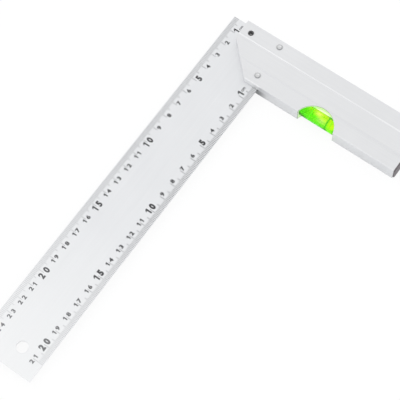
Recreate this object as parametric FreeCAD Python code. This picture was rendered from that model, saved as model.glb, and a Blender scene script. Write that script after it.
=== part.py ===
import FreeCAD, Part
import math
import os

Vector = FreeCAD.Vector

# A try square with a spirit level: a steel blade with two scales, fixed at a right angle
# in a hollow extruded handle that carries a vial in a round notch.
# The square's outer corner is x = 0, y = 0 while the pieces are drawn. The blade runs
# along x, the handle along y, and the handle lies on z = 0. All sizes are millimetres.
# The blade's hidden end stands a little inside the handle's outer face.

# Blade
blade_length = 255.0
blade_width = 40.0
blade_thickness = 1.0
blade_recess = 0.5
blade_corner_radius = 0.4
hang_hole_diameter = 7.0
hang_hole_from_tip = 13.7
hang_hole_from_outer_edge = 24.0

# Handle extrusion
handle_width = 34.0
handle_thickness = 11.1
handle_length = 126.5
handle_setback = 10.2
handle_corner_radius = 0.6
wall_thickness = 1.2
cavity_corner_radius = 0.5
panel_start = 10.3
panel_width = 13.8
panel_height = 0.35
riser_width = 0.8
mitre_start = 13.6
mitre_angle = 45.0
rib_height = 2.0
rib_thickness = 1.0
blade_slot_clearance = 0.05
blade_slot_end_gap = 1.0

# Vial notch in the handle's inner face
notch_radius = 12.7
notch_depth = 10.2
notch_from_shoulder = 71.5

# Packers that fill the handle on both sides of the blade
packer_clearance = 0.05

# Rivets through handle, packers and blade
rivet_shank_diameter = 3.0
rivet_head_diameter = 4.3
rivet_head_depth = 0.65
rivet_groove_diameter = 3.3
rivet_groove_width = 0.5
rivet_groove_depth = 0.25
rivet_clearance = 0.05
outer_rivet_inset = 4.8
inner_rivet_inset = 5.9
rivet_from_blade_edge = 3.7

# Set screw that bears on the blade
set_screw_diameter = 3.5
set_screw_recess = 0.4
set_screw_tip_bevel = 0.4
set_screw_socket_width = 1.8
set_screw_socket_depth = 1.6
set_screw_clearance = 0.05
set_screw_mouth_bevel = 0.25
set_screw_from_outer_face = 6.6
set_screw_from_shoulder = 6.3

# Vial
vial_clearance = 0.05
vial_chamber_length = 30.0
vial_end_wall = 3.0
vial_chamber_diameter = 6.3
vial_bore_taper = 0.3
liquid_clearance = 0.02
stopper_length = 4.0
stopper_dimple_diameter = 3.0
stopper_dimple_depth = 0.8
ring_spacing = 11.6
ring_width = 0.6
ring_thickness = 0.05
bubble_length = 10.4
bubble_diameter = 3.2
bubble_overlap = 0.5

# End plug
plug_flange_thickness = 0.9
plug_flange_inset = 0.3
plug_corner_radius = 2.0
plug_edge_bevel = 0.3
plug_spigot_length = 10.0
plug_wall = 1.5
plug_clearance = 0.1

# How far a cutting shape reaches past the face that it cuts
overcut = 1.0

# Levels along z
land_bottom = panel_height
land_top = land_bottom + handle_thickness
panel_top = land_top + panel_height
middle_level = land_bottom + handle_thickness / 2
blade_bottom = middle_level - blade_thickness / 2
blade_top = middle_level + blade_thickness / 2
cavity_bottom = land_bottom + wall_thickness
cavity_top = land_top - wall_thickness

# Places along x and y
handle_end = handle_setback + handle_length
overall_depth = handle_end + plug_flange_thickness
blade_tip = blade_recess + blade_length
cavity_height = cavity_top - cavity_bottom
vial_seat_radius = cavity_height / 2
ring_radius = vial_seat_radius - vial_clearance
vial_radius = ring_radius - ring_thickness
vial_centre_x = handle_width - wall_thickness - vial_seat_radius
vial_centre_y = handle_setback + notch_from_shoulder
rib_tip_rise = cavity_height / 2 - rib_height
rib_right = vial_centre_x - math.sqrt(vial_seat_radius ** 2 - rib_tip_rise ** 2)
rib_left = rib_right - rib_thickness
rivet_y = blade_width - rivet_from_blade_edge
rivet_places = {
    "outer_rivet": outer_rivet_inset,
    "inner_rivet": handle_width - inner_rivet_inset,
}
set_screw_place = Vector(
    set_screw_from_outer_face, handle_setback + set_screw_from_shoulder, 0
)
ring_places = {
    "vial_ring_near": vial_centre_y - ring_spacing / 2,
    "vial_ring_far": vial_centre_y + ring_spacing / 2,
}

Y_AXIS = Vector(0, 1, 0)
Z_AXIS = Vector(0, 0, 1)
FULL_TURN = 360


# Closed face from a list of (point, corner radius), with an arc at each radius above zero
def rounded_face(corners):
    edges = []
    starts = []
    ends = []
    arcs = []
    for index, (point, radius) in enumerate(corners):
        before = corners[index - 1][0] - point
        after = corners[(index + 1) % len(corners)][0] - point
        before.normalize()
        after.normalize()
        if radius <= 0:
            starts.append(point)
            ends.append(point)
            arcs.append(None)
            continue
        half_angle = before.getAngle(after) / 2
        reach = radius / math.tan(half_angle)
        towards_centre = before + after
        towards_centre.normalize()
        middle = point + towards_centre * (radius / math.sin(half_angle) - radius)
        starts.append(point + before * reach)
        ends.append(point + after * reach)
        arcs.append(middle)
    for index in range(len(corners)):
        if arcs[index] is not None:
            edges.append(Part.Arc(starts[index], arcs[index], ends[index]).toShape())
        following = (index + 1) % len(corners)
        edges.append(Part.makeLine(ends[index], starts[following]))
    return Part.Face(Part.Wire(edges))


# Block between two corners
def block(low_x, low_y, low_z, high_x, high_y, high_z):
    corner = Vector(low_x, low_y, low_z)
    return Part.makeBox(high_x - low_x, high_y - low_y, high_z - low_z, corner)


# Upright cylinder at a place in the plan
def upright(place, radius, low_z, high_z):
    foot = Vector(place.x, place.y, low_z)
    return Part.makeCylinder(radius, high_z - low_z, foot, Z_AXIS)


# Solid turned about an upright axis from a list of (radius, level)
def turned_upright(place, profile):
    points = [Vector(place.x + radius, place.y, level) for radius, level in profile]
    face = Part.Face(Part.makePolygon(points + points[:1]))
    return face.revolve(Vector(place.x, place.y, 0), Z_AXIS, FULL_TURN)


# Outline across the handle's hollow, drawn smaller by the inset, with its two ribs
def cavity_prism(inset, start_y, end_y):
    low_x = wall_thickness + inset
    high_x = handle_width - wall_thickness - inset
    low_z = cavity_bottom + inset
    high_z = cavity_top - inset
    low_tip = low_z + rib_height
    high_tip = high_z - rib_height
    rib_low_x = rib_left - inset
    rib_high_x = rib_right + inset
    outline = [
        (low_x, low_z, cavity_corner_radius),
        (rib_low_x, low_z, 0),
        (rib_low_x, low_tip, 0),
        (rib_high_x, low_tip, 0),
        (rib_high_x, low_z, 0),
        (high_x, low_z, cavity_corner_radius),
        (high_x, high_z, cavity_corner_radius),
        (rib_high_x, high_z, 0),
        (rib_high_x, high_tip, 0),
        (rib_low_x, high_tip, 0),
        (rib_low_x, high_z, 0),
        (low_x, high_z, cavity_corner_radius),
    ]
    corners = [(Vector(x, start_y, z), radius) for x, z, radius in outline]
    return rounded_face(corners).extrude(Y_AXIS * (end_y - start_y))


# Outside of the handle: flat lands at both edges and a raised panel between sloped risers
def handle_prism():
    panel_end = panel_start + panel_width
    lower = [
        (0, land_bottom, handle_corner_radius),
        (panel_start, land_bottom, 0),
        (panel_start + riser_width, 0, 0),
        (panel_end - riser_width, 0, 0),
        (panel_end, land_bottom, 0),
        (handle_width, land_bottom, handle_corner_radius),
    ]
    upper = [(x, panel_top - z, radius) for x, z, radius in reversed(lower)]
    corners = [(Vector(x, handle_setback, z), radius) for x, z, radius in lower + upper]
    return rounded_face(corners).extrude(Y_AXIS * handle_length)


# Wedge that mitres the handle's corner beside the blade
def mitre_wedge():
    slope = math.tan(math.radians(mitre_angle))
    far_x = handle_width + overcut
    near_y = handle_setback - overcut * slope
    points = [
        Vector(mitre_start - overcut, near_y, -overcut),
        Vector(far_x, near_y, -overcut),
        Vector(far_x, handle_setback + (far_x - mitre_start) * slope, -overcut),
    ]
    face = Part.Face(Part.makePolygon(points + points[:1]))
    return face.extrude(Z_AXIS * (panel_top + 2 * overcut))


# Hole that a rivet fills, from land to land, with a cone for each head
def rivet_hole(place):
    shank = rivet_shank_diameter / 2 + rivet_clearance
    head = rivet_head_diameter / 2 + rivet_clearance
    profile = [
        (0, -overcut),
        (head, -overcut),
        (head, land_bottom),
        (shank, land_bottom + rivet_head_depth),
        (shank, land_top - rivet_head_depth),
        (head, land_top),
        (head, panel_top + overcut),
        (0, panel_top + overcut),
    ]
    return turned_upright(place, profile)


# Rivet with two flush heads, each with a ring pressed into its face
def rivet(place):
    shank = rivet_shank_diameter / 2
    head = rivet_head_diameter / 2
    ring_inside = (rivet_groove_diameter - rivet_groove_width) / 2
    ring_outside = (rivet_groove_diameter + rivet_groove_width) / 2
    upper = [
        (shank, land_top - rivet_head_depth),
        (head, land_top),
        (ring_outside, land_top),
        (ring_outside, land_top - rivet_groove_depth),
        (ring_inside, land_top - rivet_groove_depth),
        (ring_inside, land_top),
        (0, land_top),
    ]
    lower = [(radius, panel_top - level) for radius, level in reversed(upper)]
    return turned_upright(place, lower + upper)


# Screw with a bevelled tip on the blade and a six-sided socket in its top
def set_screw():
    radius = set_screw_diameter / 2
    top = land_top - set_screw_recess
    profile = [
        (0, blade_top),
        (radius - set_screw_tip_bevel, blade_top),
        (radius, blade_top + set_screw_tip_bevel),
        (radius, top),
        (0, top),
    ]
    body = turned_upright(set_screw_place, profile)
    corner_radius = set_screw_socket_width / 2 / math.cos(math.pi / 6)
    floor = set_screw_place + Z_AXIS * (top - set_screw_socket_depth)
    points = []
    for side in range(6):
        turn = math.radians(60 * side)
        points.append(floor + Vector(math.cos(turn), math.sin(turn), 0) * corner_radius)
    socket = Part.Face(Part.makePolygon(points + points[:1]))
    return body.cut(socket.extrude(Z_AXIS * (set_screw_socket_depth + overcut)))


# Hole that the set screw runs through, from above the blade to a bevelled mouth
def set_screw_hole():
    radius = set_screw_diameter / 2 + set_screw_clearance
    mouth = radius + set_screw_mouth_bevel
    profile = [
        (0, blade_top),
        (radius, blade_top),
        (radius, land_top - set_screw_mouth_bevel),
        (mouth, land_top),
        (mouth, land_top + overcut),
        (0, land_top + overcut),
    ]
    return turned_upright(set_screw_place, profile)


def make_blade():
    outline = [
        (blade_recess, 0),
        (blade_tip, 0),
        (blade_tip, blade_width),
        (blade_recess, blade_width),
    ]
    corners = [(Vector(x, y, blade_bottom), blade_corner_radius) for x, y in outline]
    blade = rounded_face(corners).extrude(Z_AXIS * blade_thickness)
    hang_place = Vector(blade_tip - hang_hole_from_tip, hang_hole_from_outer_edge, 0)
    hang_hole = upright(
        hang_place, hang_hole_diameter / 2, blade_bottom - overcut, blade_top + overcut
    )
    blade = blade.cut(hang_hole)
    for place_x in rivet_places.values():
        blade = blade.cut(rivet_hole(Vector(place_x, rivet_y, 0)))
    return blade


def make_handle():
    handle = handle_prism()
    handle = handle.cut(cavity_prism(0, handle_setback - overcut, handle_end + overcut))
    handle = handle.cut(mitre_wedge())
    slot = block(
        -overcut,
        handle_setback - overcut,
        blade_bottom - blade_slot_clearance,
        handle_width + overcut,
        blade_width + blade_slot_end_gap,
        blade_top + blade_slot_clearance,
    )
    handle = handle.cut(slot)
    notch_place = Vector(handle_width - notch_depth + notch_radius, vial_centre_y, 0)
    notch = upright(notch_place, notch_radius, -overcut, panel_top + overcut)
    handle = handle.cut(notch)
    for place_x in rivet_places.values():
        handle = handle.cut(rivet_hole(Vector(place_x, rivet_y, 0)))
    return handle.cut(set_screw_hole())


# Packer that fills the hollow between one face of the blade and the wall beyond it
def make_packer(low_z, high_z):
    whole = cavity_prism(packer_clearance, handle_setback, blade_width)
    part = block(0, 0, low_z, handle_width, blade_width, high_z)
    packer = whole.common(part).cut(mitre_wedge())
    for place_x in rivet_places.values():
        packer = packer.cut(rivet_hole(Vector(place_x, rivet_y, 0)))
    return packer


# Point in the vial's own section: a radius from its axis and a place along it
def vial_point(radius, along):
    return Vector(vial_centre_x + radius, vial_centre_y + along, middle_level)


# Chamber whose bore tapers from its middle to both ends, so that the bubble seeks the centre
def vial_chamber(inset):
    half = vial_chamber_length / 2 - inset
    middle_radius = vial_chamber_diameter / 2 - inset
    end_radius = middle_radius - vial_bore_taper
    points = [
        vial_point(0, -half),
        vial_point(end_radius, -half),
        vial_point(middle_radius, 0),
        vial_point(end_radius, half),
        vial_point(0, half),
    ]
    face = Part.Face(Part.makePolygon(points + points[:1]))
    return face.revolve(vial_point(0, 0), Y_AXIS, FULL_TURN)


# Cylinder on the vial's axis between two places along it
def vial_cylinder(radius, start, end):
    return Part.makeCylinder(radius, end - start, vial_point(0, start), Y_AXIS)


def make_stopper():
    start = vial_chamber_length / 2
    end = start + stopper_length
    radius = vial_chamber_diameter / 2 - vial_bore_taper
    stopper = vial_cylinder(radius, start, end)
    dimple = vial_cylinder(stopper_dimple_diameter / 2, end - stopper_dimple_depth, end)
    return stopper.cut(dimple)


def make_vial_tube():
    near_end = -vial_chamber_length / 2 - vial_end_wall
    far_end = vial_chamber_length / 2 + stopper_length
    tube = vial_cylinder(vial_radius, near_end, far_end)
    tube = tube.cut(vial_chamber(0))
    stopper_radius = vial_chamber_diameter / 2 - vial_bore_taper
    return tube.cut(vial_cylinder(stopper_radius, vial_chamber_length / 2, far_end))


# Ring line that lies round the outside of the vial
def make_ring(place_y):
    start = place_y - vial_centre_y - ring_width / 2
    outside = vial_cylinder(ring_radius, start, start + ring_width)
    inside = vial_cylinder(vial_radius, start, start + ring_width)
    return outside.cut(inside)


# Long bubble with round ends that floats against the top of the chamber
def make_bubble():
    radius = bubble_diameter / 2
    half_run = bubble_length / 2 - radius
    level = vial_chamber_diameter / 2 + bubble_overlap - radius
    raise_up = Z_AXIS * level
    bubble = vial_cylinder(radius, -half_run, half_run)
    for end in (-half_run, half_run):
        bubble = bubble.fuse(Part.makeSphere(radius, vial_point(0, end)))
    bubble = bubble.removeSplitter()
    bubble.translate(raise_up)
    return bubble


def make_end_plug():
    inset = plug_flange_inset
    outline = [
        (inset, land_bottom + inset),
        (handle_width - inset, land_bottom + inset),
        (handle_width - inset, land_top - inset),
        (inset, land_top - inset),
    ]
    corners = [(Vector(x, handle_end, z), plug_corner_radius) for x, z in outline]
    flange = rounded_face(corners).extrude(Y_AXIS * plug_flange_thickness)
    outer_face_y = handle_end + plug_flange_thickness
    rim = [edge for edge in flange.Edges if edge.BoundBox.YMin > outer_face_y - plug_edge_bevel]
    flange = flange.makeChamfer(plug_edge_bevel, rim)
    spigot_start = handle_end - plug_spigot_length
    spigot = cavity_prism(plug_clearance, spigot_start, handle_end)
    hollow = cavity_prism(plug_clearance + plug_wall, spigot_start, handle_end)
    return flange.fuse(spigot.cut(hollow)).removeSplitter()


# Pieces by name, drawn at the square's corner
def make_pieces():
    pieces = {
        "blade": make_blade(),
        "handle": make_handle(),
        "upper_packer": make_packer(blade_top, cavity_top).cut(set_screw_hole()),
        "lower_packer": make_packer(cavity_bottom, blade_bottom),
        "set_screw": set_screw(),
        "vial_tube": make_vial_tube(),
        "vial_liquid": vial_chamber(liquid_clearance).cut(make_bubble()),
        "vial_stopper": make_stopper(),
        "end_plug": make_end_plug(),
    }
    for name, place_x in rivet_places.items():
        pieces[name] = rivet(Vector(place_x, rivet_y, 0))
    for name, place_y in ring_places.items():
        pieces[name] = make_ring(place_y)
    return pieces


# The finished part stands on z = 0 with its outline centred on the origin
def main():
    os.makedirs("parts", exist_ok=True)
    to_centre = Vector(-blade_tip / 2, -overall_depth / 2, 0)
    for name, shape in make_pieces().items():
        shape.translate(to_centre)
        shape.exportStep("parts/" + name + ".step")
        print(name, "solids", len(shape.Solids), "volume", round(shape.Volume, 3), shape.isValid())


main()
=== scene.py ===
import math

import bmesh
import bpy
from mathutils import Matrix, Vector


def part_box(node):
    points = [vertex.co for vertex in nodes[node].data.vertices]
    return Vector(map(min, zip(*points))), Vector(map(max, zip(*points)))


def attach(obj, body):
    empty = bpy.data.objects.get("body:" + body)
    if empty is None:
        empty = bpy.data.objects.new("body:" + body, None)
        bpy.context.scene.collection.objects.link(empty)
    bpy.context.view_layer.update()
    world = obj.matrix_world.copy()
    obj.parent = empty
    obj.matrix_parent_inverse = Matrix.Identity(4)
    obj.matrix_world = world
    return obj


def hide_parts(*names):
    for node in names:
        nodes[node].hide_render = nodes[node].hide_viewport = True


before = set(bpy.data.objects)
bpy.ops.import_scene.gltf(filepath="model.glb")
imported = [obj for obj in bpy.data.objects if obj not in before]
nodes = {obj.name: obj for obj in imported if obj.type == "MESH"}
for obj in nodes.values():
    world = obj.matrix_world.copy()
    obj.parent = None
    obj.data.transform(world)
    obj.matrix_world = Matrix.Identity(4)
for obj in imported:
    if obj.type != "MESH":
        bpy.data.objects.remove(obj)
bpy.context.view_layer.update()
scene = bpy.context.scene
mm = 0.001
print("frame loaded with", len(nodes), "nodes")


# ---- camera, floor and light

cameraSet = {
    "place": (0.2356283, 0.1904891, 0.7886155),   # metres, fitted to the photograph's edges
    "turn": (22.49563, 1.50013, 125.64772),       # degrees about x, y, z
    "lens": 130.7641,
    "sensor": 36.0,
    "clip": (0.01, 50.0),
}

cameraData = bpy.data.cameras.new("camera")
cameraData.lens = cameraSet["lens"]
cameraData.sensor_width = cameraSet["sensor"]
cameraData.clip_start, cameraData.clip_end = cameraSet["clip"]
camera = bpy.data.objects.new("camera", cameraData)
camera.location = cameraSet["place"]
camera.rotation_euler = [math.radians(angle) for angle in cameraSet["turn"]]
scene.collection.objects.link(camera)
scene.camera = camera
scene.view_settings.view_transform = "Standard"


# Puts a node in a tree. A socket given as a value is linked, anything else is its setting
def addNode(tree, kind, inputs=None, **settings):
    node = tree.nodes.new(kind)
    for name, value in settings.items():
        setattr(node, name, value)
    for name, value in (inputs or {}).items():
        if isinstance(value, bpy.types.NodeSocket):
            tree.links.new(value, node.inputs[name])
        else:
            node.inputs[name].default_value = value
    return node


# The result of one maths node
def addMath(tree, operation, *values, clamp=False):
    return addNode(tree, "ShaderNodeMath", dict(enumerate(values)), operation=operation, use_clamp=clamp).outputs[0]


# The result of one vector maths node. Lengths and dot products come out of it as numbers
def addVectorMath(tree, operation, *values):
    node = addNode(tree, "ShaderNodeVectorMath", dict(enumerate(values)), operation=operation)
    return node.outputs["Value" if operation in ("LENGTH", "DOT_PRODUCT") else 0]


plainWhite = (1.0, 1.0, 1.0, 1.0)
lightSet = {
    "white": 1.0,               # what camera, gloss and glass see of the surroundings
    "fill": 1.1,                # what lights the object from all round
    "floorReach": 6.0,          # metres from the middle
    "floorColour": (0.97, 0.975, 0.98, 1.0),
    "floorWhite": 0.90,         # share of plain white in the floor, as the camera sees it
    "floorGloss": 0.10,         # and as metal sees it
    "lamps": (
        # name, place, aim, side in metres, watts
        ("softbox", (0.16, -0.52, 1.50), (0.05, -0.05, 0.0), 0.75, 0.55),
        ("topPanel", (-0.71, -0.42, 1.32), (-0.11, 0.0, 0.0), 0.80, 0.16),
        ("leftPanel", (-1.40, -0.42, 0.42), (0.0, 0.0, 0.0), 0.45, 0.55),
        ("rightPanel", (1.42, -0.33, 0.36), (0.0, 0.0, 0.0), 0.45, 0.90),
    ),
}

world = bpy.data.worlds.new("studio")
scene.world = world
world.use_nodes = True
tree = world.node_tree
tree.nodes.clear()
rays = addNode(tree, "ShaderNodeLightPath")
seen = addMath(tree, "ADD", rays.outputs["Is Camera Ray"], rays.outputs["Is Glossy Ray"])
seen = addMath(tree, "ADD", seen, rays.outputs["Is Transmission Ray"], clamp=True)
fill = addNode(tree, "ShaderNodeBackground", {"Color": plainWhite, "Strength": lightSet["fill"]})
white = addNode(tree, "ShaderNodeBackground", {"Color": plainWhite, "Strength": lightSet["white"]})
both = addNode(tree, "ShaderNodeMixShader", {0: seen, 1: fill.outputs[0], 2: white.outputs[0]})
addNode(tree, "ShaderNodeOutputWorld", {"Surface": both.outputs[0]})

for name, place, aim, side, watts in lightSet["lamps"]:
    lampData = bpy.data.lights.new(name, "AREA")
    lampData.size = side
    lampData.energy = watts
    lamp = bpy.data.objects.new(name, lampData)
    lamp.location = place
    lamp.rotation_euler = (Vector(aim) - Vector(place)).to_track_quat("-Z", "Y").to_euler()
    scene.collection.objects.link(lamp)

floorShape = bmesh.new()
bmesh.ops.create_grid(floorShape, x_segments=1, y_segments=1, size=lightSet["floorReach"])
floorMesh = bpy.data.meshes.new("floor")
floorShape.to_mesh(floorMesh)
floorShape.free()
floor = bpy.data.objects.new("floor", floorMesh)
scene.collection.objects.link(floor)

floorLook = bpy.data.materials.new("paleFloor")
floorLook.use_nodes = True
tree = floorLook.node_tree
tree.nodes.clear()
rays = addNode(tree, "ShaderNodeLightPath")
byCamera = addMath(tree, "MULTIPLY", rays.outputs["Is Camera Ray"], lightSet["floorWhite"])
byGlass = addMath(tree, "MULTIPLY_ADD", rays.outputs["Is Transmission Ray"], lightSet["floorWhite"], byCamera)
byGloss = addMath(tree, "MULTIPLY_ADD", rays.outputs["Is Glossy Ray"], lightSet["floorGloss"], byGlass, clamp=True)
matt = addNode(tree, "ShaderNodeBsdfDiffuse", {"Color": lightSet["floorColour"]})
glow = addNode(tree, "ShaderNodeEmission", {"Color": plainWhite, "Strength": 1.0})
both = addNode(tree, "ShaderNodeMixShader", {0: byGloss, 1: matt.outputs[0], 2: glow.outputs[0]})
addNode(tree, "ShaderNodeOutputMaterial", {"Surface": both.outputs[0]})
floorMesh.materials.append(floorLook)
print("camera, floor and light are set")


# ---- effects that several finishes share

def newGroup(name, inputs, outputs):
    group = bpy.data.node_groups.new(name, "ShaderNodeTree")
    for socket, kind, value in inputs:
        made = group.interface.new_socket(name=socket, in_out="INPUT", socket_type=kind)
        made.default_value = value
    for socket, kind in outputs:
        group.interface.new_socket(name=socket, in_out="OUTPUT", socket_type=kind)
    return group, addNode(group, "NodeGroupInput"), addNode(group, "NodeGroupOutput")


# Fine parallel lines, as brushing or a die leaves them, and a slow cloudy change under them
def drawnLinesGroup():
    group, given, made = newGroup(
        "drawnLines",
        (("Position", "NodeSocketVector", (0.0, 0.0, 0.0)), ("Stretch", "NodeSocketVector", (30.0, 2500.0, 2500.0)),
         ("Cloud Scale", "NodeSocketFloat", 30.0)),
        (("Lines", "NodeSocketFloat"), ("Clouds", "NodeSocketFloat")))
    pulled = addVectorMath(group, "MULTIPLY", given.outputs["Position"], given.outputs["Stretch"])
    lines = addNode(group, "ShaderNodeTexNoise", {"Vector": pulled, "Scale": 1.0, "Detail": 4.0, "Roughness": 0.6})
    clouds = addNode(group, "ShaderNodeTexNoise", {
        "Vector": given.outputs["Position"], "Scale": given.outputs["Cloud Scale"], "Detail": 3.0, "Roughness": 0.55})
    group.links.new(lines.outputs[0], made.inputs["Lines"])
    group.links.new(clouds.outputs[0], made.inputs["Clouds"])
    return group


# Small even grain, as anodising, oxide or a mould's texture has it, with a few darker specks
def fineGrainGroup():
    group, given, made = newGroup(
        "fineGrain",
        (("Position", "NodeSocketVector", (0.0, 0.0, 0.0)), ("Grains", "NodeSocketFloat", 4000.0),
         ("Specks", "NodeSocketFloat", 900.0)),
        (("Grain", "NodeSocketFloat"), ("Speck", "NodeSocketFloat")))
    grain = addNode(group, "ShaderNodeTexNoise", {
        "Vector": given.outputs["Position"], "Scale": given.outputs["Grains"], "Detail": 2.0})
    cells = addNode(group, "ShaderNodeTexVoronoi", {
        "Vector": given.outputs["Position"], "Scale": given.outputs["Specks"]})
    speck = addNode(group, "ShaderNodeMapRange", {0: cells.outputs["Distance"], 1: 0.10, 2: 0.22, 3: 1.0, 4: 0.0})
    group.links.new(grain.outputs[0], made.inputs["Grain"])
    group.links.new(speck.outputs[0], made.inputs["Speck"])
    return group


# Rings round an upright axis, as facing or pressing leaves them on a round head
def turnedRingsGroup():
    group, given, made = newGroup(
        "turnedRings",
        (("Position", "NodeSocketVector", (0.0, 0.0, 0.0)), ("Centre", "NodeSocketVector", (0.0, 0.0, 0.0)),
         ("Rings", "NodeSocketFloat", 9000.0)),
        (("Ring", "NodeSocketFloat"), ("Radius", "NodeSocketFloat")))
    away = addVectorMath(group, "SUBTRACT", given.outputs["Position"], given.outputs["Centre"])
    radius = addVectorMath(group, "LENGTH", addVectorMath(group, "MULTIPLY", away, (1.0, 1.0, 0.0)))
    wave = addMath(group, "SINE", addMath(group, "MULTIPLY", radius, given.outputs["Rings"]))
    group.links.new(addMath(group, "MULTIPLY_ADD", wave, 0.5, 0.5), made.inputs["Ring"])
    group.links.new(radius, made.inputs["Radius"])
    return group


# A box round a place, soft at its edges, that is 1 inside and 0 outside
def lightPoolGroup():
    group, given, made = newGroup(
        "lightPool",
        (("Position", "NodeSocketVector", (0.0, 0.0, 0.0)), ("Centre", "NodeSocketVector", (0.0, 0.0, 0.0)),
         ("Scale", "NodeSocketVector", (100.0, 100.0, 100.0)), ("Softness", "NodeSocketVector", (0.5, 0.5, 0.02))),
        (("Share", "NodeSocketFloat"),))
    away = addVectorMath(group, "SUBTRACT", given.outputs["Position"], given.outputs["Centre"])
    sized = addVectorMath(group, "ABSOLUTE", addVectorMath(group, "MULTIPLY", away, given.outputs["Scale"]))
    short = addVectorMath(group, "SUBTRACT", (1.0, 1.0, 1.0), sized)
    eased = addVectorMath(group, "DIVIDE", short, given.outputs["Softness"])
    parts = addNode(group, "ShaderNodeSeparateXYZ", {0: eased})
    share = 1.0
    for part in parts.outputs:
        share = addMath(group, "MULTIPLY", addMath(group, "ADD", part, 0.0, clamp=True), share)
    group.links.new(share, made.inputs["Share"])
    return group


drawnLines = drawnLinesGroup()
fineGrain = fineGrainGroup()
turnedRings = turnedRingsGroup()
lightPool = lightPoolGroup()
print("shared effects are built")


# ---- finishes

# A material with a Principled shader. What plain holds is the same all over the surface
def newFinish(name, plain):
    finish = bpy.data.materials.new(name)
    finish.use_nodes = True
    tree = finish.node_tree
    tree.nodes.clear()
    shader = addNode(tree, "ShaderNodeBsdfPrincipled", plain)
    addNode(tree, "ShaderNodeOutputMaterial", {"Surface": shader.outputs[0]})
    position = addNode(tree, "ShaderNodeTexCoord").outputs["Object"]
    return finish, tree, shader, position


# The node's sockets 6, 7 and 2 are its two colours and the mixed one
def mixColour(tree, mask, first, second):
    mix = addNode(tree, "ShaderNodeMix", {"Factor": mask}, data_type="RGBA")
    for socket, value in ((mix.inputs[6], first), (mix.inputs[7], second)):
        if isinstance(value, bpy.types.NodeSocket):
            tree.links.new(value, socket)
        else:
            socket.default_value = (*value, 1.0)
    return mix.outputs[2]


# Noise keeps mostly between 0.3 and 0.7
def fitRange(tree, value, low, high, fromLow=0.3, fromHigh=0.7):
    return addNode(tree, "ShaderNodeMapRange", {0: value, 1: fromLow, 2: fromHigh, 3: low, 4: high}).outputs[0]


def addBump(tree, shader, height, strength, depth):
    bump = addNode(tree, "ShaderNodeBump", {"Height": height, "Strength": strength, "Distance": depth})
    tree.links.new(bump.outputs[0], shader.inputs["Normal"])


# A group node that is fed with the place on the surface
def addEffect(tree, effect, position, **given):
    node = addNode(tree, "ShaderNodeGroup", {}, node_tree=effect)
    tree.links.new(position, node.inputs["Position"])
    for name, value in given.items():
        node.inputs[name].default_value = value
    return node


# How far inside a soft box round a place, from 0 to 1. The half sizes are in millimetres
def lightIn(tree, position, place, half, softness):
    scale = [1 / (side * mm) for side in half]
    return addEffect(tree, lightPool, position, Centre=place, Scale=scale, Softness=softness).outputs["Share"]


# Soft patches of colour, used here as painted light and shade. A look lists place from the centre and half size in
# mm, softness as a share of that size, and colour
def addPatches(tree, colour, position, look, centre):
    for place, half, softness, patchColour in look.get("patches", ()):
        share = lightIn(tree, position, centre + Vector(place) * mm, half, softness)
        colour = mixColour(tree, share, colour, patchColour)
    return colour


# The same as painted light: patches with a glow of their own over the glow that is all over the surface
def addGleams(tree, shader, position, look, centre):
    glow = look.get("glow", (0.0, 0.0, 0.0))
    for place, half, softness, colour in look.get("gleams", ()):
        share = lightIn(tree, position, centre + Vector(place) * mm, half, softness)
        glow = mixColour(tree, share, glow, colour)
    if "gleams" in look:
        tree.links.new(glow, shader.inputs["Emission Color"])
        shader.inputs["Emission Strength"].default_value = 1.0


# Brushed or extruded metal. A notch is milled, duller than the rest, with painted light (a glow) in it where light
# would come through the vial
def drawnMetal(name, look, notchCentre=None, gleamCentre=None):
    finish, tree, shader, position = newFinish(name, {"Metallic": 1.0})
    lines = addEffect(tree, drawnLines, position, **{"Stretch": look["stretch"], "Cloud Scale": look["clouds"]})
    grain = addEffect(tree, fineGrain, position, Grains=look["grains"])
    share = fitRange(tree, lines.outputs["Clouds"], 0.0, 1.0)
    cloudy = mixColour(tree, share, look["dark"], look["light"])
    lined = mixColour(tree, fitRange(tree, lines.outputs["Lines"], 0.0, look["lineDepth"]), cloudy, look["line"])
    rough = fitRange(tree, lines.outputs["Lines"], look["rough"][0], look["rough"][1])
    lined = addPatches(tree, lined, position, look, Vector())
    if notchCentre:
        radius = addEffect(tree, turnedRings, position, Centre=notchCentre).outputs["Radius"]
        milled = addMath(tree, "COMPARE", radius, look["notchRadius"], look["notchReach"])
        lined = mixColour(tree, milled, lined, look["milled"])
        tree.links.new(fitRange(tree, milled, 1.0, look["milledMetal"], 0.0, 1.0), shader.inputs["Metallic"])
        addGleams(tree, shader, position, look, gleamCentre)
    tree.links.new(lined, shader.inputs["Base Color"])
    tree.links.new(rough, shader.inputs["Roughness"])
    relief = addMath(tree, "ADD", lines.outputs["Lines"], grain.outputs["Grain"])
    addBump(tree, shader, relief, look["bump"], look["bumpDepth"])
    return finish


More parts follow.
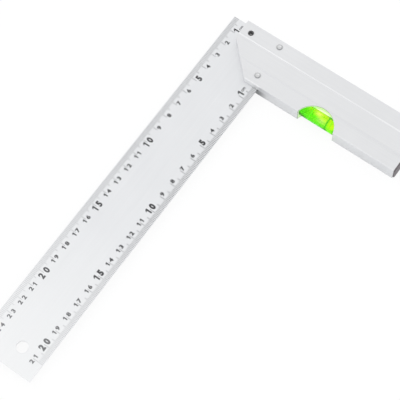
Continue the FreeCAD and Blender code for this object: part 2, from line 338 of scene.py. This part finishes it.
bladeLook = {
    "light": (0.785, 0.794, 0.809),
    "dark": (0.757, 0.766, 0.782),
    "line": (0.703, 0.715, 0.732),
    "lineDepth": 0.35,
    "stretch": (30.0, 2600.0, 2600.0),    # lines run along the blade
    "clouds": 28.0,
    "grains": 5000.0,
    "rough": (0.36, 0.48),
    "bump": 0.12,
    "bumpDepth": 0.00002,
    "patches": (                          # painted light: the lighter end, and the hole's wall painted white
        ((140.0, -48.8, 6.0), (115.0, 60.0, 3.0), (1.0, 0.1, 0.1), (0.824, 0.832, 0.838)),
        ((114.05, -44.8, 5.9), (3.7, 3.7, 0.47), (0.05, 0.05, 0.1), (1.0, 1.0, 1.0)),
    ),
}
handleLook = {
    "light": (0.762, 0.768, 0.779),
    "dark": (0.735, 0.741, 0.753),
    "line": (0.69, 0.698, 0.712),
    "lineDepth": 0.30,
    "stretch": (2000.0, 9.0, 2000.0),     # die lines run along the handle
    "clouds": 35.0,
    "grains": 4200.0,
    "rough": (0.38, 0.48),
    "bump": 0.15,
    "bumpDepth": 0.00002,
    "notchRadius": 12.7 * mm,
    "notchDepth": 10.2 * mm,
    "notchReach": 0.03 * mm,
    "milled": (0.45, 0.48, 0.43),
    "milledMetal": 0.60,
    "patches": (                          # painted light and shade: a highlight along a riser, lighter mitre and shoulder walls, shade in the corner by the blade, a darker other riser
        ((-117.05, 75.0, 11.6), (0.7, 45.0, 0.5), (0.3, 1.0, 0.3), (0.855, 0.86, 0.865)),
        ((-104.0, -49.0, 8.8), (11.0, 10.0, 2.6), (0.05, 0.05, 0.06), (0.86, 0.865, 0.875)),
        ((-93.75, -33.5, 9.2), (0.6, 7.5, 2.8), (0.5, 0.3, 0.4), (0.93, 0.935, 0.94)),
        ((-93.75, -27.8, 3.2), (1.0, 6.0, 3.9), (0.3, 1.0, 0.25), (0.36, 0.365, 0.37)),
        ((-104.05, 0.0, 11.7), (0.75, 300.0, 0.6), (0.5, 0.1, 0.3), (0.71, 0.717, 0.73)),
    ),
    "gleams": (                           # painted light: glow in the notch where light would come through the vial, and on the mitre, placed from the vial's middle
        ((-5.2, 0.0, 0.0), (10.6, 20.0, 5.5), (0.12, 0.2, 0.15), (0.471, 0.62, 0.322)),
        ((-4.7, -61.9, 2.9), (11.0, 10.0, 2.6), (0.05, 0.05, 0.06), (0.10, 0.10, 0.103)),
    ),
}
packerLook = {
    "light": (0.90, 0.905, 0.915),
    "dark": (0.84, 0.845, 0.857),
    "line": (0.76, 0.765, 0.775),
    "lineDepth": 0.5,
    "stretch": (60.0, 60.0, 1800.0),      # saw marks cross the cut ends
    "clouds": 60.0,
    "grains": 3000.0,
    "rough": (0.40, 0.55),
    "bump": 0.25,
    "bumpDepth": 0.00003,
}


# Rivet heads: faced rings, a pressed groove with painted shade that is deeper on one side, and a painted highlight on
# the other side
def rivetFinish(name, look, centre):
    finish, tree, shader, position = newFinish(name, {"Metallic": look["metal"]})
    rings = addEffect(tree, turnedRings, position, Centre=centre, Rings=look["rings"])
    ring, radius = rings.outputs["Ring"], rings.outputs["Radius"]
    # painted shade in the groove and a painted highlight, set by which side of the head faces the light
    side = addVectorMath(tree, "DOT_PRODUCT", addVectorMath(tree, "SUBTRACT", position, centre), look["paintedLightAxis"])
    groove = addMath(tree, "COMPARE", radius, look["groove"], look["grooveReach"])
    paintedGrooveShare = addMath(tree, "MULTIPLY", groove, fitRange(tree, side, look["paintedGrooveLeast"], 1.0, -1.0, 1.0))
    highlightShare = fitRange(tree, side, 1.0, 0.0, -1.0, look["highlightEnd"])
    paintedHighlight = mixColour(tree, highlightShare, mixColour(tree, ring, look["light"], look["mid"]), look["paintedHighlight"])
    tree.links.new(mixColour(tree, paintedGrooveShare, paintedHighlight, look["dark"]), shader.inputs["Base Color"])
    tree.links.new(fitRange(tree, ring, look["rough"][0], look["rough"][1], 0.0, 1.0), shader.inputs["Roughness"])
    dish = fitRange(tree, radius, 0.0, 1.0, look["dish"][0], look["dish"][1])
    addBump(tree, shader, dish, look["bump"], look["dishDepth"])
    return finish


rivetLook = {
    "metal": 1.0,
    "light": (0.65, 0.655, 0.66),
    "mid": (0.575, 0.58, 0.585),
    # painted highlight on the side away from the shade
    "paintedHighlight": (0.82, 0.825, 0.83),
    "highlightEnd": 0.1,
    "dark": (0.42, 0.43, 0.44),
    "groove": 1.60 * mm,
    "grooveReach": 0.36 * mm,
    "paintedLightAxis": (480.0, 330.0, 0.0),      # painted shade in the groove is deepest toward this side, the painted highlight on the other
    "paintedGrooveLeast": 0.45,
    "rings": 30000.0,
    "rough": (0.22, 0.34),
    "dish": (0.3 * mm, 1.5 * mm),         # the face dips between these radii
    "dishDepth": 0.0003,
    "bump": 1.0,
}
screwLook = {
    "metal": 0.1,
    "light": (0.075, 0.075, 0.078),
    "mid": (0.055, 0.055, 0.058),
    # painted light: a highlight on one side of the head, and the socket's middle painted light grey
    "paintedHighlight": (0.070, 0.070, 0.073),
    "highlightEnd": 0.5,
    "dark": (0.75, 0.75, 0.76),           # painted highlight: the socket's middle is painted light grey
    "groove": 0.0,
    "grooveReach": 0.80 * mm,
    "paintedLightAxis": (300.0, 200.0, 0.0),
    "paintedGrooveLeast": 0.8,
    "rings": 20000.0,
    "rough": (0.38, 0.50),
    "dish": (1.2 * mm, 1.7 * mm),
    "dishDepth": 0.0001,
    "bump": 0.4,
}


# Paint, oxide, ink and moulded plastic: a grain in colour, gloss and relief
def grainyFinish(name, look, centre=None):
    plain = {"Metallic": look.get("metal", 0.0), "IOR": look.get("ior", 1.5)}
    finish, tree, shader, position = newFinish(name, plain)
    effect = addEffect(tree, fineGrain, position, Grains=look["grains"], Specks=look["specks"])
    grain = effect.outputs["Grain"]
    grained = mixColour(tree, fitRange(tree, grain, 0.0, 1.0), look["dark"], look["light"])
    specked = mixColour(tree, effect.outputs["Speck"], grained, look["speck"])
    if "faded" in look:
        along = addNode(tree, "ShaderNodeSeparateXYZ", {0: position})
        fade = fitRange(tree, along.outputs["X"], 0.0, look["fadeShare"], look["fadeFrom"], look["fadeTo"])
        specked = mixColour(tree, fade, specked, look["faded"])
    tree.links.new(specked, shader.inputs["Base Color"])
    tree.links.new(fitRange(tree, grain, look["rough"][0], look["rough"][1]), shader.inputs["Roughness"])
    addBump(tree, shader, grain, look["bump"], look["bumpDepth"])
    addGleams(tree, shader, position, look, centre)
    return finish


plugLook = {
    "light": (0.150, 0.130, 0.140),
    "dark": (0.110, 0.098, 0.106),
    "speck": (0.20, 0.18, 0.19),
    "grains": 2200.0,
    "specks": 800.0,
    "rough": (0.42, 0.56),
    "bump": 0.35,
    "bumpDepth": 0.00006,
}
inkLook = {
    "light": (0.040, 0.040, 0.044),
    "dark": (0.022, 0.022, 0.025),
    "speck": (0.14, 0.14, 0.145),
    "faded": (0.84, 0.85, 0.87),          # the print is lighter toward the blade's tip
    "fadeShare": 0.50,
    "fadeFrom": 0.0,
    "fadeTo": 0.105,
    "grains": 6000.0,
    "specks": 2600.0,
    "rough": (0.45, 0.60),
    "bump": 0.05,
    "bumpDepth": 0.00001,
}
digitLook = {
    "fadeShare": 0.17,
    "fadeFrom": 0.045,
    "fadeTo": 0.110,
}
ringLook = {
    "light": (0.16, 0.79, 0.008),
    "dark": (0.13, 0.70, 0.006),
    "speck": (0.20, 0.82, 0.012),
    "ior": 1.3,
    "gleams": (                           # painted glow on the half that is seen through the liquid
        ((0.0, 0.0, -3.4), (8.0, 20.0, 3.0), (0.1, 0.1, 0.5), (0.50, 0.90, 0.20)),
    ),
    "grains": 5000.0,
    "specks": 2000.0,
    "rough": (0.35, 0.45),
    "bump": 0.05,
    "bumpDepth": 0.00001,
}
# painted shade: the far ring line is painted darker than the near one
farRingLook = {
    "light": (0.065, 0.60, 0.003),
    "dark": (0.050, 0.52, 0.002),
    "speck": (0.080, 0.64, 0.005),
}


# Clear tinted acrylic and the dyed liquid. As painted light, the tint goes from deep to bright across the vial,
# brighter where light falls, and the dye glows a little, as fluorescent dye does
def dyedFinish(name, look, centre):
    plain = {"Metallic": 0.0, "IOR": look["ior"], "Transmission Weight": look["clear"],
             "Emission Color": (*look["glow"], 1.0), "Emission Strength": 1.0,
             "Specular Tint": look["shine"]}
    finish, tree, shader, position = newFinish(name, plain)
    lines = addEffect(tree, drawnLines, position, **{"Stretch": look["stretch"], "Cloud Scale": look["clouds"]})
    # painted light: the tint brightens along this slope across the vial
    slope = addVectorMath(tree, "DOT_PRODUCT", addVectorMath(tree, "SUBTRACT", position, centre), look["slope"])
    clouds = fitRange(tree, lines.outputs["Clouds"], look["cloudy"][0], look["cloudy"][1])
    share = addMath(tree, "ADD", clouds, slope, clamp=True)
    tint = mixColour(tree, share, look["deep"], look["bright"])
    tree.links.new(addPatches(tree, tint, position, look, centre), shader.inputs["Base Color"])
    rough = fitRange(tree, lines.outputs["Lines"], look["rough"][0], look["rough"][1])
    tree.links.new(rough, shader.inputs["Roughness"])
    addGleams(tree, shader, position, look, centre)
    return finish


vialLook = {
    "deep": (0.78, 0.96, 0.25),
    "bright": (0.84, 0.98, 0.32),
    "clear": 0.97,
    "ior": 1.49,
    "glow": (0.0075, 0.0285, 0.0),
    "shine": (0.35, 1.0, 0.12, 1.0),      # the dye tints the shine too
    "slope": (-60.0, 20.0, 0.0),          # painted light: change of tint per metre from the vial's middle
    "cloudy": (0.35, 0.65),
    "stretch": (400.0, 60.0, 400.0),
    "clouds": 160.0,
    "rough": (0.02, 0.07),
    "gleams": (                           # painted highlights: light caught on top, in front and at the stopper's end
        ((-0.7, -1.0, 4.25), (2.0, 3.2, 1.0), (0.9, 0.9, 0.3), (0.45, 0.18, 0.135)),
        ((2.1, 2.2, 3.7), (2.4, 4.5, 2.0), (0.9, 0.9, 0.5), (0.20, 0.02, 0.10)),
        ((3.3, 9.3, 1.5), (2.6, 3.0, 4.0), (0.6, 0.6, 0.4), (0.10, 0.36, 0.0)),
    ),
    "patches": (                          # painted shade: the tint is darker round the far ring line
        ((0.0, 6.0, 4.0), (5.5, 1.4, 5.0), (0.2, 1.0, 0.2), (0.50, 0.90, 0.12)),
    ),
}
liquidLook = {
    "deep": (0.09, 0.85, 0.012),
    "bright": (0.82, 0.93, 0.05),
    "clear": 0.97,
    "ior": 1.36,
    "glow": (0.0075, 0.0285, 0.0),
    "shine": (0.35, 1.0, 0.12, 1.0),
    # painted light: the liquid's tint changes along this slope, per metre
    "slope": (-260.0, 50.0, 0.0),
    "cloudy": (0.38, 0.62),
    "stretch": (200.0, 60.0, 200.0),
    "clouds": 200.0,
    "rough": (0.01, 0.03),
}
bubbleLook = {
    "deep": (0.95, 1.00, 0.45),
    "bright": (1.00, 1.00, 0.65),
    "clear": 0.97,
    "ior": 1.36,
    # painted light: a glow that lightens the bubble
    "glow": (0.10, 0.09, 0.015),
    "shine": (0.8, 1.0, 0.5, 1.0),
    # painted light: the bubble's tint changes along this slope, per metre
    "slope": (-90.0, 35.0, 0.0),
    "cloudy": (0.30, 0.70),
    "stretch": (200.0, 60.0, 200.0),
    "clouds": 300.0,
    "rough": (0.01, 0.03),
}


def nodeCentre(name):
    low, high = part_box(name)
    return (low + high) / 2


bladeLow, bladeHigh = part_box("blade")
handleLow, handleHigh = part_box("handle")
vialCentre = (nodeCentre("vial_ring_near") + nodeCentre("vial_ring_far")) / 2
notchX = handleHigh.x - handleLook["notchDepth"] + handleLook["notchRadius"]
finishes = {
    "blade": drawnMetal("bladeSteel", bladeLook),
    "handle": drawnMetal("handleAluminium", handleLook, (notchX, vialCentre.y, 0.0), vialCentre),
    "set_screw": rivetFinish("blackOxide", screwLook, nodeCentre("set_screw")),
    "end_plug": grainyFinish("plugPlastic", plugLook),
    "vial_tube": dyedFinish("vialAcrylic", vialLook, vialCentre),
}
finishes["upper_packer"] = finishes["lower_packer"] = drawnMetal("packerAluminium", packerLook)
finishes["vial_stopper"] = finishes["vial_tube"]
finishes["vial_ring_near"] = grainyFinish("nearRingLine", ringLook, vialCentre)
finishes["vial_ring_far"] = grainyFinish("farRingLine", {**ringLook, **farRingLook}, vialCentre)
for name in ("outer_rivet", "inner_rivet"):
    finishes[name] = rivetFinish(name + "Steel", rivetLook, nodeCentre(name))
for name, finish in finishes.items():
    nodes[name].data.materials.clear()
    nodes[name].data.materials.append(finish)
lineFinish = grainyFinish("printedLines", inkLook)
digitFinish = grainyFinish("printedNumbers", {**inkLook, **digitLook})
print("finishes are on", len(finishes), "nodes")


# ---- the vial's liquid

# Makes an object of a finished bmesh, riding on the part's only body
def addPiece(name, shape, finish):
    mesh = bpy.data.meshes.new(name)
    shape.to_mesh(mesh)
    shape.free()
    mesh.materials.append(finish)
    piece = bpy.data.objects.new(name, mesh)
    scene.collection.objects.link(piece)
    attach(piece, "root")
    return piece


# Solid turned about a line along y from (radius, place) points whose ends lie on that line
def turnedAlongY(profile, centre, sides):
    shape = bmesh.new()
    points = [shape.verts.new((centre.x + radius * mm, centre.y + along * mm, centre.z)) for radius, along in profile]
    line = [shape.edges.new(pair) for pair in zip(points, points[1:])]
    bmesh.ops.spin(shape, geom=points + line, cent=centre, axis=(0.0, 1.0, 0.0), angle=2 * math.pi, steps=sides,
                   use_merge=True)
    bmesh.ops.remove_doubles(shape, verts=shape.verts, dist=mergeDistance)
    bmesh.ops.recalc_face_normals(shape, faces=shape.faces)
    return shape


liquidShape = {
    "halfLength": 15.0,          # in mm, the bore of the tube
    "endRadius": 2.85,
    "middleRadius": 3.15,
    "bite": 0.03,                # how far the liquid reaches into the wall, so that no air lies between
    "bubbleLength": 10.4,
    "bubbleRadius": 1.45,
    "bubbleGap": 0.06,           # under the top of the bore
    "sides": 40,
    "arcSteps": 8,
}
mergeDistance = 0.000001


def makeLiquid(look):
    half = look["halfLength"] + look["bite"]
    endRadius = look["endRadius"] + look["bite"]
    middleRadius = look["middleRadius"] + look["bite"]
    profile = ((0.0, -half), (endRadius, -half), (middleRadius, 0.0), (endRadius, half), (0.0, half))
    body = turnedAlongY(profile, vialCentre, look["sides"])
    radius = look["bubbleRadius"]
    run = look["bubbleLength"] / 2 - radius
    quarter = [math.pi / 2 * step / look["arcSteps"] for step in range(look["arcSteps"] + 1)]
    rising = [(radius * math.sin(angle), -run - radius * math.cos(angle)) for angle in quarter]
    falling = [(across, -along) for across, along in reversed(rising)]
    lift = Vector((0.0, 0.0, (look["middleRadius"] - look["bubbleGap"] - radius) * mm))
    bubble = turnedAlongY(rising + falling, vialCentre + lift, look["sides"])
    bmesh.ops.reverse_faces(bubble, faces=bubble.faces)
    for face in bubble.faces:
        face.material_index = 1
    skin = bpy.data.meshes.new("bubble")
    bubble.to_mesh(skin)
    bubble.free()
    body.from_mesh(skin)
    for face in body.faces:
        face.smooth = True
    piece = addPiece("dyed_liquid", body, dyedFinish("vialLiquid", liquidLook, vialCentre))
    piece.data.materials.append(dyedFinish("bubbleSkin", bubbleLook, vialCentre))
    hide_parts("vial_liquid")


makeLiquid(liquidShape)
print("vial is filled")


# ---- the blade's two scales

scaleLook = {
    "inkLift": 0.012,             # how far the ink stands over the steel, in mm
    "inkSink": 0.008,
    "digitHeight": 2.8,
    "boldHeight": 4.3,
    "digitWidth": 1.12,           # width of the digits as a multiple of the font's
    "boldWidth": 0.86,
    "oneStem": (0.155, 0.085),    # stem of a small and a bold figure 1, flag and slant, in capital heights
    "oneFlag": 0.22,
    "oneLean": 0.20,
    "oneFoot": 2.2,               # how far down the flag reaches, in half stems
    "digitSpread": {"units": 1.9, "unitOne": 1.55, "1": 1.4, "2": 1.8},    # away from their line
    "boldSpread": {"units": 2.25, "unitOne": 1.75, "1": 1.7, "2": 2.2},
    "wordHeight": 1.45,
    "wordWeight": 0.02,
    "curveSteps": (3, 2),         # steps in a curve of the figures and of the word
    "weldDistance": 0.0005,       # in capital heights
}
outerScale = {
    "side": 1,                    # its lines start at the blade's outer edge
    "start": -0.05,               # where the scale starts, from the handle's face, in mm
    "end": 250,
    "gap": 0.38,                  # bare steel between the edge and a line
    "reach": {1: 3.5, 5: 5.0, 10: 6.7},    # how far lines of 1, 5 and 10 mm go in from the edge
    "line": 0.20,                 # width of the lines
    "weights": (0.040, 0.052),    # how far small and bold digits are thickened
    "middles": (6.80, 6.95),      # middle of small and bold digits, from the edge
    "word": (4.96, 8.2),          # middle of the cm word, from the scale's start and edge
}
innerScale = {
    "side": -1,
    "start": -0.50,
    "end": 210,
    "gap": 0.10,
    "reach": {1: 3.2, 5: 4.9, 10: 6.7},
    "line": 0.27,
    "weights": (0.046, 0.068),
    "middles": (6.35, 6.58),
    "word": (5.05, 6.8),
}
mmPerCm = 10


# The figure 1 as one outline: a stem with a slanting flag
def figureOne(weight, stem, lean):
    half = stem / 2 + weight
    flag = scaleLook["oneFlag"]
    outline = ((half, -0.5), (half, 0.5), (-half, 0.5), (-half - flag, 0.5 - lean),
               (-half - flag, 0.5 - lean - 2 * half), (-half, 0.5 - scaleLook["oneFoot"] * half), (-half, -0.5))
    shape = bmesh.new()
    foot = shape.faces.new([shape.verts.new((x + flag / 2, y, -0.5)) for x, y in outline])
    raised = bmesh.ops.extrude_face_region(shape, geom=[foot])
    bmesh.ops.translate(shape, verts=[item for item in raised["geom"] if isinstance(item, bmesh.types.BMVert)],
                        vec=(0.0, 0.0, 1.0))
    bmesh.ops.recalc_face_normals(shape, faces=shape.faces)
    mesh = bpy.data.meshes.new("one")
    shape.to_mesh(mesh)
    shape.free()
    return mesh, 1.0


# One printed word as a mesh, its middle at the origin and its capital height 1
def printedWord(text, weight, curveSteps):
    curve = bpy.data.curves.new("word", "FONT")
    curve.body = text
    curve.offset = weight
    curve.extrude = 0.5
    curve.resolution_u = curveSteps
    holder = bpy.data.objects.new("word", curve)
    scene.collection.objects.link(holder)
    flat = bpy.data.meshes.new_from_object(holder.evaluated_get(bpy.context.evaluated_depsgraph_get()))
    shape = bmesh.new()
    shape.from_mesh(flat)
    bmesh.ops.remove_doubles(shape, verts=shape.verts, dist=scaleLook["weldDistance"])
    bmesh.ops.triangulate(shape, faces=shape.faces)
    caps = [face for face in shape.faces if len({round(vert.co.z, 3) for vert in face.verts}) == 1]
    capSet = set(caps)
    between = [edge for edge in shape.edges if capSet.issuperset(edge.link_faces)]
    bmesh.ops.beautify_fill(shape, faces=caps, edges=between, method="ANGLE")
    bmesh.ops.recalc_face_normals(shape, faces=shape.faces)
    low = Vector([min(vert.co[axis] for vert in shape.verts) for axis in range(3)])
    high = Vector([max(vert.co[axis] for vert in shape.verts) for axis in range(3)])
    bmesh.ops.translate(shape, verts=shape.verts, vec=-(low + high) / 2)
    shape.to_mesh(flat)
    shape.free()
    bpy.data.objects.remove(holder)
    bpy.data.curves.remove(curve)
    return flat, high.y - low.y


inkTop = bladeHigh.z + scaleLook["inkLift"] * mm
inkBottom = bladeHigh.z - scaleLook["inkSink"] * mm
inkMiddle = (inkTop + inkBottom) / 2
inkDepth = inkTop - inkBottom


# One scale of lines, numbers and the word cm, from a place along x and an edge of the blade
def drawScale(name, startX, edgeY, look):
    side = look["side"]
    startX += look["start"] * mm
    lines = bmesh.new()
    for step in range(look["end"] + 1):
        if startX + step * mm < bladeLow.x + look["line"] * mm:
            continue
        near = look["gap"]
        far = next(look["reach"][count] for count in (mmPerCm, mmPerCm // 2, 1) if step % count == 0)
        centre = Vector((startX + step * mm, edgeY + side * (near + far) / 2 * mm, inkMiddle))
        size = (look["line"] * mm, (far - near) * mm, inkDepth)
        bmesh.ops.create_cube(lines, size=1.0, matrix=Matrix.Translation(centre) @ Matrix.Diagonal((*size, 1.0)))
    addPiece(name + "_lines", lines, lineFinish)

    figureSteps, wordSteps = scaleLook["curveSteps"]
    words = {}
    for bold, weight in enumerate(look["weights"]):
        words["1", bold] = figureOne(weight, scaleLook["oneStem"][bold], scaleLook["oneLean"])
        for text in "025" if bold else "02345678":
            words[text, bold] = printedWord(text, weight, figureSteps)
    words["cm", False] = printedWord("cm", scaleLook["wordWeight"], wordSteps)
    capHeight = words["7", False][1]
    numbers = bmesh.new()

    # A 9 is a 6 that isn't turned to read from the outer edge
    def addWord(text, bold, x, middle, height):
        turn = 0.0 if text == "9" else math.pi
        text = text.replace("9", "6")
        first = len(numbers.verts)
        numbers.from_mesh(words[text, bold][0])
        numbers.verts.ensure_lookup_table()
        tall = height * mm / (words[text, bold][1] if text in ("cm", "1") else capHeight)
        wide = tall * (1.0 if text in ("cm", "1") else scaleLook["boldWidth" if bold else "digitWidth"])
        put = Matrix.Translation((x, edgeY + side * middle * mm, inkMiddle))
        put = put @ Matrix.Rotation(turn, 4, "Z") @ Matrix.Diagonal((wide, tall, inkDepth, 1.0))
        bmesh.ops.transform(numbers, matrix=put, verts=numbers.verts[first:])

    for number in range(1, look["end"] // mmPerCm + 1):
        bold = number == 1 or number % 5 == 0
        spread = scaleLook["boldSpread" if bold else "digitSpread"]
        height = scaleLook["boldHeight" if bold else "digitHeight"]
        middle = look["middles"][bold]
        x = startX + number * mmPerCm * mm
        units = spread["unitOne" if number % 10 == 1 else "units"]
        addWord(str(number % 10), bold, x - units * mm, middle, height)
        if number > 9:
            tens = str(number // 10)
            addWord(tens, bold, x + spread[tens] * mm, middle, height)
    addWord("cm", False, startX + look["word"][0] * mm, look["word"][1], scaleLook["wordHeight"])
    addPiece(name + "_numbers", numbers, digitFinish)


drawScale("outer_scale", handleLow.x, bladeLow.y, outerScale)
drawScale("inner_scale", handleHigh.x, bladeHigh.y, innerScale)
print("scales are printed on the blade")
